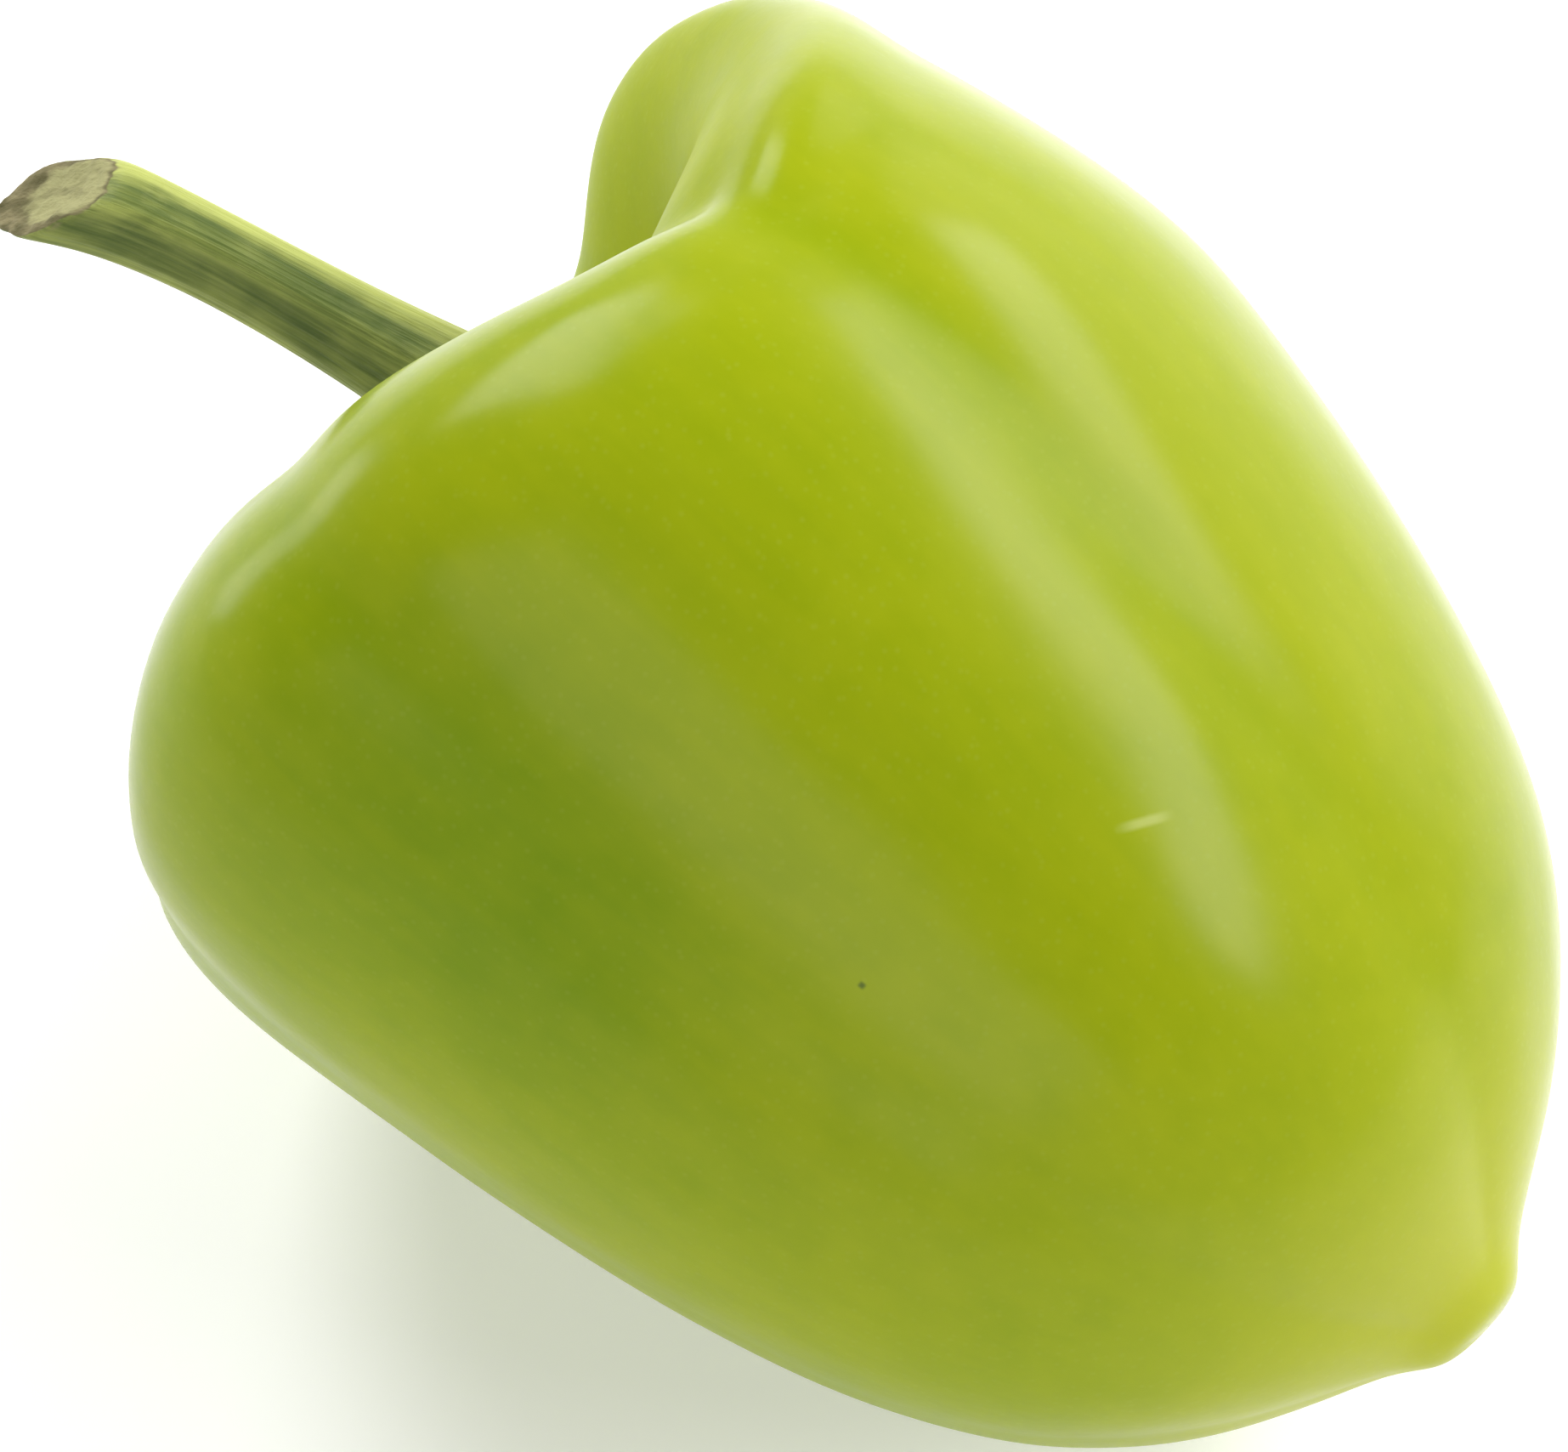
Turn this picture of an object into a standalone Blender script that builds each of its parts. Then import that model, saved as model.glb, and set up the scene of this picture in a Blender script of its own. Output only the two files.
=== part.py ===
"""A light green bell pepper lying on its side, with its calyx and cut stem.

The fruit and the green calyx with its stem are closed meshes. Each starts as a UV sphere whose rings are
drawn onto a smooth meridian, a B-spline of (radius, height) points. On the fruit, ridges and furrows then
lift or sink the skin along the meridian's normal, and each lobe grows longer or shorter than the meridian.
Both are drawn upright, with the blossom tip at the origin and +Z towards the stem. They are then laid on
their side, as the fruit comes to rest, with the skin pressed flat where it touches the plane Z = 0. Units
are metres.
"""

import math
from collections import namedtuple

import bmesh
import bpy
import numpy as np
from mathutils import Matrix

MM = 0.001

# Meridian of the fruit, in millimetres from the axis and from the blossom tip, tip to stem seat.
FRUIT_MERIDIAN = (
    (0.0, -0.8),
    (3.9, -0.6),
    (6.2, 1.9),
    (12.6, 4.6),
    (21.8, 9.8),
    (30.8, 20.0),
    (37.0, 36.0),
    (40.8, 53.0),
    (42.8, 68.0),
    (42.8, 82.0),
    (40.0, 93.0),
    (31.0, 100.0),
    (21.5, 98.0),
    (16.0, 91.0),
    (12.5, 85.5),
    (7.0, 84.3),
    (0.0, 84.0),
)
TIP, LOW, BELLY, SHOULDER, CREST, SEAT = 1.0, 4.5, 7.5, 9.5, 11.0, 13.8  # places along it, in points

# One row for each lobe and for the saddles between uneven lobes: its angle about the axis, how far its skin
# stands out low down, on the belly and at the shoulder, how much longer than the meridian it grows, and how
# far its crest reaches outwards, in millimetres.
Ridge = namedtuple("Ridge", "angle low belly shoulder rise reach")
RIDGES = (
    Ridge(2, 0.0, 0.5, 0.3, 2.6, 0.0),
    Ridge(22, -0.2, 0.4, -0.3, -17.6, 3.0),
    Ridge(44, -0.7, 0.2, -0.6, -5.4, 5.5),
    Ridge(60, -1.0, 0.0, -3.4, -1.6, 3.0),
    Ridge(92, -1.0, -0.9, -5.3, 5.2, 2.0),
    Ridge(124, -0.8, -0.4, -1.5, 11.8, 0.0),
    Ridge(173, 0.0, 0.5, 0.5, 3.3, 0.0),
    Ridge(206, 0.2, 0.4, 1.8, -6.5, 0.0),
    Ridge(238, 0.6, 0.4, 3.6, -6.1, 0.0),
    Ridge(286, 0.6, 0.4, 4.0, -3.8, 0.0),
    Ridge(320, 0.6, 0.5, 3.3, 0.1, 0.0),
)
RIDGE_FOCUS = 7.0  # how sharply the skin turns from one ridge's values to the next

# One row for each furrow: its angle, its depth low down, on the belly, at the shoulder and at the crest, its
# half width, and how much wider or narrower it is at the crest.
Furrow = namedtuple("Furrow", "angle low belly shoulder crest width spread")
FURROWS = (
    Furrow(-26, 0.8, 0.8, 1.9, 2.8, 9, 1.5),
    Furrow(34, 0.8, 2.2, 2.2, 2.6, 11, 0.8),
    Furrow(93, 0.8, 1.2, 0.6, 0.0, 11, 1.5),
    Furrow(156, 1.2, 1.0, 2.1, 3.0, 12, 1.5),
    Furrow(200, 0.8, 0.5, 1.9, 3.0, 14, 1.5),
    Furrow(277, 1.0, 0.8, 3.1, 5.5, 15, 1.5),
)
FURROW_SOFTNESS = 0.5  # roundness of a furrow's bottom, as a share of its half width

# Calyx and stem: radius about the stem's own bent line and height above the seat, seat to cut end, in mm.
STEM_MERIDIAN = (
    (0.0, 0.0),
    (6.5, 0.0),
    (11.6, 0.0),
    (11.6, 0.9),
    (9.0, 1.8),
    (5.8, 3.0),
    (4.7, 6.0),
    (4.2, 11.0),
    (3.6, 17.0),
    (3.3, 23.0),
    (3.2, 29.0),
    (3.3, 33.0),
    (3.45, 37.5),
    (3.65, 40.5),
    (3.5, 42.0),
    (1.8, 41.8),
    (0.0, 41.7),
)
STEM_HEIGHT = 41.5 * MM
STEM_LEAN = 0.25  # sideways travel per height
LEAN_ONSET = 4.0 * MM  # height over which the stem turns from upright to leaning
STEM_BEND = 2.0 * MM  # further sideways travel at the cut end
BEND_POWER = 7
CUT_SLANT = 1.1  # height lost across the cut per width
CUT_ANGLE = math.radians(34)
CUT_REACH = 11.0 * MM
CALYX_RADIUS = 11.4 * MM
CALYX_HEIGHT = 6.0 * MM
TOOTH_COUNT = 5
TOOTH_SIZE = 0.13  # as a share of the calyx's radius
STEM_RIB = 0.05  # as a share of the stem's radius
SEAT_GAP = 0.3 * MM

FRUIT_SEGMENTS, FRUIT_RINGS = 90, 54
STEM_SEGMENTS, STEM_RINGS = 40, 46

AXIS_SLOPE = math.radians(12.4)  # how far the stem end stands above the blossom end
ROLL = math.radians(-20.0)
REST_DEPTH = 0.8 * MM  # how far the skin is pressed in where the fruit lies on the surface


def spline(controls, places):
    """Points and tangents of a cubic B-spline whose controls mirror across the axis at both ends."""
    controls = np.asarray(controls, float)
    mirror = np.array([-1.0, 1.0])
    padded = np.vstack([controls[1] * mirror, controls, controls[-2] * mirror])
    last = len(controls) - 2
    start = np.clip(np.floor(places).astype(int), 0, last)
    f = (places - start)[:, None]
    p0, p1, p2, p3 = (padded[start + step] for step in range(4))
    points = (
        (1 - f) ** 3 * p0
        + (3 * f**3 - 6 * f**2 + 4) * p1
        + (-3 * f**3 + 3 * f**2 + 3 * f + 1) * p2
        + f**3 * p3
    ) / 6
    tangents = (
        -((1 - f) ** 2) * p0
        + (3 * f**2 - 4 * f) * p1
        + (-3 * f**2 + 2 * f + 1) * p2
        + f**2 * p3
    ) / 2
    return points, tangents


def turn_between(angle, centre):
    """Angle from centre to angle, in degrees, between -180 and 180."""
    return (np.degrees(angle) - centre + 180.0) % 360.0 - 180.0


def along(places, stops, values):
    """Values eased from stop to stop along the meridian."""
    result = np.full_like(places, values[0])
    for a, b, va, vb in zip(stops, stops[1:], values, values[1:]):
        f = np.clip((places - a) / (b - a), 0, 1)
        result += (vb - va) * f * f * (3 - 2 * f)
    return result


def ridge_values(angle, places):
    """How far the ridges push the skin outwards, lengthen it and widen its crest, in metres."""
    lift = np.zeros_like(angle)
    rise = np.zeros_like(angle)
    reach = np.zeros_like(angle)
    total = np.zeros_like(angle)
    for ridge in RIDGES:
        weight = np.exp(RIDGE_FOCUS * np.cos(np.radians(turn_between(angle, ridge.angle))))
        outwards = (0.0, ridge.low, ridge.belly, ridge.shoulder, 0.0)
        lift += weight * along(places, (TIP, LOW, BELLY, SHOULDER, SEAT), outwards)
        rise += weight * along(places, (BELLY, CREST, SEAT), (0.0, ridge.rise, 0.0))
        reach += weight * along(places, (SHOULDER, CREST, SEAT), (0.0, ridge.reach, 0.0))
        total += weight
    return lift / total * MM, rise / total * MM, reach / total * MM


def furrow_depth(angle, places):
    """How far the furrows sink the skin, in metres."""
    depth = np.zeros_like(angle)
    for furrow in FURROWS:
        width = furrow.width * along(places, (SHOULDER, CREST), (1.0, furrow.spread))
        x = turn_between(angle, furrow.angle) / width
        valley = np.exp(FURROW_SOFTNESS - np.sqrt(x * x + FURROW_SOFTNESS**2))
        values = (0.0, furrow.low, furrow.belly, furrow.shoulder, furrow.crest, 0.0)
        depth += valley * along(places, (TIP, LOW, BELLY, SHOULDER, CREST, SEAT), values)
    return depth * MM


def fruit_skin(angle, height):
    """Points of the fruit's skin at each angle, at each share of the way from the tip to the seat."""
    places = height * (len(FRUIT_MERIDIAN) - 1)
    points, tangents = spline(np.array(FRUIT_MERIDIAN) * MM, places)
    normals = np.column_stack([tangents[:, 1], -tangents[:, 0]])
    normals /= np.linalg.norm(normals, axis=1)[:, None]
    lift, rise, reach = ridge_values(angle, places)
    outwards = lift - furrow_depth(angle, places)
    radius, z = (points + normals * outwards[:, None]).T
    radius += reach
    return np.column_stack([radius * np.cos(angle), radius * np.sin(angle), z + rise])


def seat_height(radius):
    """Height of the cavity's floor at a distance from the axis."""
    floor, _ = spline(np.array(FRUIT_MERIDIAN) * MM, np.linspace(SEAT, len(FRUIT_MERIDIAN) - 1, 60))
    return np.interp(radius, floor[::-1, 0], floor[::-1, 1])


def stem_line(height):
    """Centre of the bent stem at each height above the seat, and two unit vectors across it."""
    share = np.clip(height / STEM_HEIGHT, 0, None)
    onset = np.hypot(height, LEAN_ONSET)
    travel = STEM_LEAN * (onset - LEAN_ONSET) + STEM_BEND * share**BEND_POWER
    slope = STEM_LEAN * height / onset + STEM_BEND / STEM_HEIGHT * BEND_POWER * share ** (BEND_POWER - 1)
    none = np.zeros_like(height)
    across = np.column_stack([none, np.ones_like(slope), slope]) / np.hypot(1, slope)[:, None]
    return np.column_stack([none, -travel, height]), np.array([1.0, 0.0, 0.0]), across


def calyx_and_stem_skin(angle, share):
    """Points of the calyx and stem at each angle, at each share of the way from the seat to the cut end."""
    points, _ = spline(np.array(STEM_MERIDIAN) * MM, share * (len(STEM_MERIDIAN) - 1))
    radius, height = points.T
    low = np.clip(1 - height / CALYX_HEIGHT, 0, 1)
    rib = np.cos(TOOTH_COUNT * angle)
    rim = np.clip(radius / CALYX_RADIUS, 0, 1) ** 2 * low
    radius = radius * (1 + (TOOTH_SIZE * rim + STEM_RIB * (1 - rim)) * rib)
    cut = np.clip(1 - (STEM_HEIGHT - height) / CUT_REACH, 0, 1)
    height = height - CUT_SLANT * radius * np.cos(angle - CUT_ANGLE) * cut * cut * (3 - 2 * cut)
    centre, toward, across = stem_line(height)
    skin = centre + toward * (radius * np.cos(angle))[:, None] + across * (radius * np.sin(angle))[:, None]
    skin[:, 2] += low * seat_height(radius) + (1 - low) * seat_height(0.0) + SEAT_GAP
    return skin


def drawn_sphere(name, segments, rings, skin):
    """A closed mesh object: a UV sphere whose points are drawn onto a skin."""
    shape = bmesh.new()
    bmesh.ops.create_uvsphere(shape, u_segments=segments, v_segments=rings, radius=1.0)
    ball = np.array([v.co for v in shape.verts])
    angle = np.arctan2(ball[:, 1], ball[:, 0])
    height = np.arcsin(np.clip(ball[:, 2], -1, 1)) / math.pi + 0.5
    for vertex, point in zip(shape.verts, skin(angle, height)):
        vertex.co = point
    mesh = bpy.data.meshes.new(name)
    shape.to_mesh(mesh)
    shape.free()
    mesh.shade_smooth()
    return bpy.data.objects.new(name, mesh)


def material(name, colour, roughness):
    made = bpy.data.materials.new(name)
    made.use_nodes = True
    shader = made.node_tree.nodes["Principled BSDF"]
    shader.inputs["Base Color"].default_value = (*colour, 1.0)
    shader.inputs["Roughness"].default_value = roughness
    shader.inputs["Metallic"].default_value = 0.0
    return made


def lay_down(pieces):
    """Turns the pieces onto their side, centres them over the origin and presses the underside flat."""
    turn = Matrix.Rotation(AXIS_SLOPE - math.pi / 2, 4, "Y") @ Matrix.Rotation(ROLL, 4, "Z")
    for piece in pieces:
        piece.data.transform(turn)
    points = np.array([vertex.co for piece in pieces for vertex in piece.data.vertices])
    low = points.min(axis=0)
    high = points.max(axis=0)
    middle = (low + high) / 2
    place = Matrix.Translation((-middle[0], -middle[1], -low[2] - REST_DEPTH))
    for piece in pieces:
        piece.data.transform(place)
        for vertex in piece.data.vertices:
            vertex.co.z = max(vertex.co.z, 0.0)


def main():
    for obj in list(bpy.data.objects):
        bpy.data.objects.remove(obj)
    parts = bpy.data.collections.new("bell_pepper")
    cutters = bpy.data.collections.new("cutters")
    for collection in (parts, cutters):
        bpy.context.scene.collection.children.link(collection)

    fruit = drawn_sphere("fruit", FRUIT_SEGMENTS, FRUIT_RINGS, fruit_skin)
    stem = drawn_sphere("calyx_and_stem", STEM_SEGMENTS, STEM_RINGS, calyx_and_stem_skin)
    fruit.data.materials.append(material("pepper_skin", (0.42, 0.50, 0.03), 0.3))
    stem.data.materials.append(material("stem_green", (0.14, 0.25, 0.03), 0.55))
    for piece in (fruit, stem):
        parts.objects.link(piece)
    lay_down((fruit, stem))


main()
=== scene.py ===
"""The looks of a light green bell pepper lying on its side: waxy skin, ribbed stem, calyx and dry cut end.

Run it as a script in Blender 4.5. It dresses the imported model, which it never moves or resizes, and sets
a plain pale stage with soft light and a camera. Lengths are metres, and +Z is up from the surface.
"""

import math
from collections import namedtuple

import bmesh
import bpy
import numpy as np
from bpy.props import FloatProperty, FloatVectorProperty, IntProperty, PointerProperty
from mathutils import Matrix, Vector, noise


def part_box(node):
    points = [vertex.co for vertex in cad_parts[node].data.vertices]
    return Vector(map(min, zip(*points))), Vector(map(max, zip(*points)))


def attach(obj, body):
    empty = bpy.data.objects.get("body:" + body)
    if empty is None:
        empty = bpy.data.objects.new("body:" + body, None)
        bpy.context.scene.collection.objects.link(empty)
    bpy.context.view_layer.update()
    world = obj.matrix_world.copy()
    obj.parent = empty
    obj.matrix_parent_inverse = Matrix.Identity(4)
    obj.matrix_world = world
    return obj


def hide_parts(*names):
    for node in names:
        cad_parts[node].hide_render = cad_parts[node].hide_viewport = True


bl_info = {
    "name": "Bell Pepper",
    "version": (1, 0, 0),
    "blender": (4, 5, 0),
    "location": "View3D > Sidebar > Bell Pepper",
    "description": "Dresses a bell pepper with waxy skin, a ribbed stem and a toothed calyx",
    "category": "Object",
}

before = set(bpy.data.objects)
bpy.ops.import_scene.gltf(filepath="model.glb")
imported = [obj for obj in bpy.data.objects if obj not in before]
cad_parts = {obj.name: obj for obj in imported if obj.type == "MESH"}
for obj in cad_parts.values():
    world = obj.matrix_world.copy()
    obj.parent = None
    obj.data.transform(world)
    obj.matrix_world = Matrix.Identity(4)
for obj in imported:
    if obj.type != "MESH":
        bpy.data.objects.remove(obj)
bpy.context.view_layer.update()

MM = 0.001

# ---------------------------------------------------------------------------------------------------------
# The form. Fruit and stem are drawn upright, blossom tip at the origin, and then laid on their side.
# ---------------------------------------------------------------------------------------------------------

# Meridian of the fruit, in millimetres from the axis and from the blossom tip, tip to stem seat.
FRUIT_MERIDIAN = (
    (0.0, -0.8),
    (3.9, -0.6),
    (6.2, 1.9),
    (12.6, 4.6),
    (21.8, 9.8),
    (30.8, 20.0),
    (37.0, 36.0),
    (40.8, 53.0),
    (42.8, 68.0),
    (42.8, 82.0),
    (40.0, 93.0),
    (31.0, 100.0),
    (21.5, 98.0),
    (16.0, 91.0),
    (12.5, 85.5),
    (7.0, 84.3),
    (0.0, 84.0),
)
TIP, LOW, BELLY, SHOULDER, CREST, SEAT = 1.0, 4.5, 7.5, 9.5, 11.0, 13.8  # places along it, in points

# One row for each lobe and for the saddles between uneven lobes: its angle about the axis, how far its skin
# stands out low down, on the belly and at the shoulder, how much longer than the meridian it grows, and how
# far its crest reaches outwards, in millimetres.
Ridge = namedtuple("Ridge", "angle low belly shoulder rise reach")
RIDGES = (
    Ridge(2, 0.0, 0.5, 0.3, 2.6, 0.0),
    Ridge(22, -0.2, 0.4, -0.3, -17.6, 3.0),
    Ridge(44, -0.7, 0.2, -0.6, -5.4, 5.5),
    Ridge(60, -1.0, 0.0, -3.4, -1.6, 3.0),
    Ridge(92, -1.0, -0.9, -5.3, 5.2, 2.0),
    Ridge(124, -0.8, -0.4, -1.5, 11.8, 0.0),
    Ridge(173, 0.0, 0.5, 0.5, 3.3, 0.0),
    Ridge(206, 0.2, 0.4, 1.8, -6.5, 0.0),
    Ridge(238, 0.6, 0.4, 3.6, -6.1, 0.0),
    Ridge(286, 0.6, 0.4, 4.0, -3.8, 0.0),
    Ridge(320, 0.6, 0.5, 3.3, 0.1, 0.0),
)
RIDGE_FOCUS = 7.0  # how sharply the skin turns from one ridge's values to the next

# One row for each furrow: its angle, its depth low down, on the belly, at the shoulder and at the crest, its
# half width, and how much wider or narrower it is at the crest.
Furrow = namedtuple("Furrow", "angle low belly shoulder crest width spread")
FURROWS = (
    Furrow(-26, 0.8, 0.8, 1.9, 2.8, 9, 1.5),
    Furrow(34, 0.8, 2.2, 2.2, 2.6, 11, 0.8),
    Furrow(93, 0.8, 1.2, 0.6, 0.0, 11, 1.5),
    Furrow(156, 1.2, 1.0, 2.1, 3.0, 12, 1.5),
    Furrow(200, 0.8, 0.5, 1.9, 3.0, 14, 1.5),
    Furrow(277, 1.0, 0.8, 3.1, 5.5, 15, 1.5),
)
FURROW_SOFTNESS = 0.5  # roundness of a furrow's bottom, as a share of its half width

# Calyx and stem: radius about the stem's own bent line and height above the seat, seat to cut end, in mm.
STEM_MERIDIAN = (
    (0.0, 0.0),
    (6.5, 0.0),
    (11.6, 0.0),
    (11.6, 0.9),
    (9.0, 1.8),
    (5.8, 3.0),
    (4.7, 6.0),
    (4.2, 11.0),
    (3.6, 17.0),
    (3.3, 23.0),
    (3.2, 29.0),
    (3.3, 33.0),
    (3.45, 37.5),
    (3.65, 40.5),
    (3.5, 42.0),
    (1.8, 41.8),
    (0.0, 41.7),
)
STEM_HEIGHT = 41.5 * MM
STEM_LEAN = 0.25  # sideways travel per height
LEAN_ONSET = 4.0 * MM  # height over which the stem turns from upright to leaning
STEM_BEND = 2.0 * MM  # further sideways travel at the cut end
BEND_POWER = 7
CUT_SLANT = 1.1  # height lost across the cut per width
CUT_ANGLE = math.radians(34)
CUT_REACH = 11.0 * MM
CALYX_RADIUS = 11.4 * MM
CALYX_HEIGHT = 6.0 * MM
TOOTH_COUNT = 5
TOOTH_SIZE = 0.13  # as a share of the calyx's radius
STEM_RIB = 0.05  # as a share of the stem's radius
SEAT_GAP = 0.3 * MM
FRUIT_GRID = (90, 54)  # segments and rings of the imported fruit

AXIS_SLOPE = math.radians(12.4)  # how far the stem end stands above the blossom end
ROLL = math.radians(-20.0)


def spline(controls, places):
    """Points and tangents of a cubic B-spline whose controls mirror across the axis at both ends."""
    controls = np.asarray(controls, float)
    mirror = np.array([-1.0, 1.0])
    padded = np.vstack([controls[1] * mirror, controls, controls[-2] * mirror])
    last = len(controls) - 2
    start = np.clip(np.floor(places).astype(int), 0, last)
    f = (places - start)[:, None]
    p0, p1, p2, p3 = (padded[start + step] for step in range(4))
    points = (
        (1 - f) ** 3 * p0
        + (3 * f**3 - 6 * f**2 + 4) * p1
        + (-3 * f**3 + 3 * f**2 + 3 * f + 1) * p2
        + f**3 * p3
    ) / 6
    tangents = (
        -((1 - f) ** 2) * p0
        + (3 * f**2 - 4 * f) * p1
        + (-3 * f**2 + 2 * f + 1) * p2
        + f**2 * p3
    ) / 2
    return points, tangents


def turn_between(angle, centre):
    """Angle from centre to angle, in degrees, between -180 and 180."""
    return (np.degrees(angle) - centre + 180.0) % 360.0 - 180.0


def eased(share):
    """A smooth step from 0 to 1."""
    share = np.clip(share, 0, 1)
    return share * share * (3 - 2 * share)


def along(places, stops, values):
    """Values eased from stop to stop along the meridian."""
    result = np.full_like(places, values[0])
    for a, b, va, vb in zip(stops, stops[1:], values, values[1:]):
        result += (vb - va) * eased((places - a) / (b - a))
    return result


def ridge_values(angle, places):
    """How far the ridges push the skin outwards, lengthen it and widen its crest."""
    lift = np.zeros_like(angle)
    rise = np.zeros_like(angle)
    reach = np.zeros_like(angle)
    total = np.zeros_like(angle)
    for ridge in RIDGES:
        weight = np.exp(RIDGE_FOCUS * np.cos(np.radians(turn_between(angle, ridge.angle))))
        outwards = (0.0, ridge.low, ridge.belly, ridge.shoulder, 0.0)
        lift += weight * along(places, (TIP, LOW, BELLY, SHOULDER, SEAT), outwards)
        rise += weight * along(places, (BELLY, CREST, SEAT), (0.0, ridge.rise, 0.0))
        reach += weight * along(places, (SHOULDER, CREST, SEAT), (0.0, ridge.reach, 0.0))
        total += weight
    return lift / total * MM, rise / total * MM, reach / total * MM


def furrow_depth(angle, places):
    """How far the furrows sink the skin."""
    depth = np.zeros_like(angle)
    for furrow in FURROWS:
        width = furrow.width * along(places, (SHOULDER, CREST), (1.0, furrow.spread))
        x = turn_between(angle, furrow.angle) / width
        valley = np.exp(FURROW_SOFTNESS - np.sqrt(x * x + FURROW_SOFTNESS**2))
        values = (0.0, furrow.low, furrow.belly, furrow.shoulder, furrow.crest, 0.0)
        depth += valley * along(places, (TIP, LOW, BELLY, SHOULDER, CREST, SEAT), values)
    return depth * MM


def fruit_skin(angle, height):
    """Points of the fruit's skin at each angle, at each share of the way from the tip to the seat."""
    places = height * (len(FRUIT_MERIDIAN) - 1)
    points, tangents = spline(np.array(FRUIT_MERIDIAN) * MM, places)
    normals = np.column_stack([tangents[:, 1], -tangents[:, 0]])
    normals /= np.linalg.norm(normals, axis=1)[:, None]
    lift, rise, reach = ridge_values(angle, places)
    outwards = lift - furrow_depth(angle, places)
    radius, z = (points + normals * outwards[:, None]).T
    radius += reach
    return np.column_stack([radius * np.cos(angle), radius * np.sin(angle), z + rise])


def seat_height(radius):
    """Height of the cavity's floor at a distance from the axis."""
    floor, _ = spline(np.array(FRUIT_MERIDIAN) * MM, np.linspace(SEAT, len(FRUIT_MERIDIAN) - 1, 60))
    return np.interp(radius, floor[::-1, 0], floor[::-1, 1])


def stem_line(height):
    """Centre of the bent stem at each height above the seat, and two unit vectors across it."""
    share = np.clip(height / STEM_HEIGHT, 0, None)
    onset = np.hypot(height, LEAN_ONSET)
    travel = STEM_LEAN * (onset - LEAN_ONSET) + STEM_BEND * share**BEND_POWER
    slope = STEM_LEAN * height / onset + STEM_BEND / STEM_HEIGHT * BEND_POWER * share ** (BEND_POWER - 1)
    none = np.zeros_like(height)
    across = np.column_stack([none, np.ones_like(slope), slope]) / np.hypot(1, slope)[:, None]
    return np.column_stack([none, -travel, height]), np.array([1.0, 0.0, 0.0]), across


def calyx_and_stem_skin(angle, share):
    """Points of the calyx and stem at each angle, at each share of the way from the seat to the cut end."""
    points, _ = spline(np.array(STEM_MERIDIAN) * MM, share * (len(STEM_MERIDIAN) - 1))
    radius, height = points.T
    low = np.clip(1 - height / CALYX_HEIGHT, 0, 1)
    rib = np.cos(TOOTH_COUNT * angle)
    rim = np.clip(radius / CALYX_RADIUS, 0, 1) ** 2 * low
    radius = radius * (1 + (TOOTH_SIZE * rim + STEM_RIB * (1 - rim)) * rib)
    cut = np.clip(1 - (STEM_HEIGHT - height) / CUT_REACH, 0, 1)
    height = height - CUT_SLANT * radius * np.cos(angle - CUT_ANGLE) * cut * cut * (3 - 2 * cut)
    centre, toward, across = stem_line(height)
    skin = centre + toward * (radius * np.cos(angle))[:, None] + across * (radius * np.sin(angle))[:, None]
    skin[:, 2] += low * seat_height(radius) + (1 - low) * seat_height(0.0) + SEAT_GAP
    return skin


def sphere_grid(segments, rings):
    """A UV sphere as a bmesh, with the angle and the share of the way up of each of its points."""
    shape = bmesh.new()
    bmesh.ops.create_uvsphere(shape, u_segments=segments, v_segments=rings, radius=1.0)
    ball = np.array([v.co for v in shape.verts])
    angle = np.arctan2(ball[:, 1], ball[:, 0])
    height = np.arcsin(np.clip(ball[:, 2], -1, 1)) / math.pi + 0.5
    return shape, angle, height


def turned(points):
    """Points turned from upright to the way the fruit lies."""
    turn = Matrix.Rotation(AXIS_SLOPE - math.pi / 2, 3, "Y") @ Matrix.Rotation(ROLL, 3, "Z")
    return points @ np.array(turn).T


def resting_shift():
    """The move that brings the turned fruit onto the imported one, found from their upper corners."""
    shape, angle, height = sphere_grid(*FRUIT_GRID)
    shape.free()
    return np.array(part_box("fruit")[1]) - turned(fruit_skin(angle, height)).max(axis=0)


RESTING_SHIFT = resting_shift()


# ---------------------------------------------------------------------------------------------------------
# Sizes and colours that a user may change
# ---------------------------------------------------------------------------------------------------------


def colour_property(name, description, default):
    return FloatVectorProperty(
        name=name, description=description, default=default, subtype="COLOR", size=3, min=0.0, max=1.0
    )


def length_property(name, description, default):
    return FloatProperty(
        name=name, description=description, default=default, subtype="DISTANCE", unit="LENGTH", min=0.0
    )


def share_property(name, description, default):
    return FloatProperty(
        name=name, description=description, default=default, subtype="FACTOR", min=0.0, max=1.0
    )


class SkinSettings(bpy.types.PropertyGroup):
    """The fruit's skin."""

    segments: IntProperty(name="Segments", description="Faces round the fruit", default=300, min=24)
    rings: IntProperty(name="Rings", description="Faces from tip to seat", default=220, min=24)
    swell: length_property("Swell", "Height of the slow swells in the skin", 0.22 * MM)
    swell_size: length_property("Swell size", "Width of the slow swells", 11 * MM)
    inset: length_property("Inset", "How far the skin keeps inside the packed solid", 0.17 * MM)
    # Leaf green is the deep end of the skin's green: real deeper green, and also painted shade on the shaded
    # flanks, in one patch and in the furrows.
    leaf_and_shade: colour_property("Leaf green", "Skin where it is greenest", (0.150, 0.250, 0.001))
    lime: colour_property("Lime green", "Skin on the lobes", (0.34, 0.385, 0.004))
    straw: colour_property("Straw yellow", "Skin towards the blossom tip", (0.48, 0.49, 0.020))
    fleck: colour_property("Pale flecks", "Very fine flecks all over the skin", (0.66, 0.70, 0.22))
    scratch: colour_property("Scratch", "Healed scratch on the near lobe", (0.62, 0.66, 0.26))
    speck: colour_property("Speck", "Small dark speck", (0.05, 0.09, 0.01))
    roughness: share_property("Roughness", "Roughness of the skin under its wax", 0.38)
    wax: share_property("Wax", "Strength of the waxy coat", 1.0)


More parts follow.
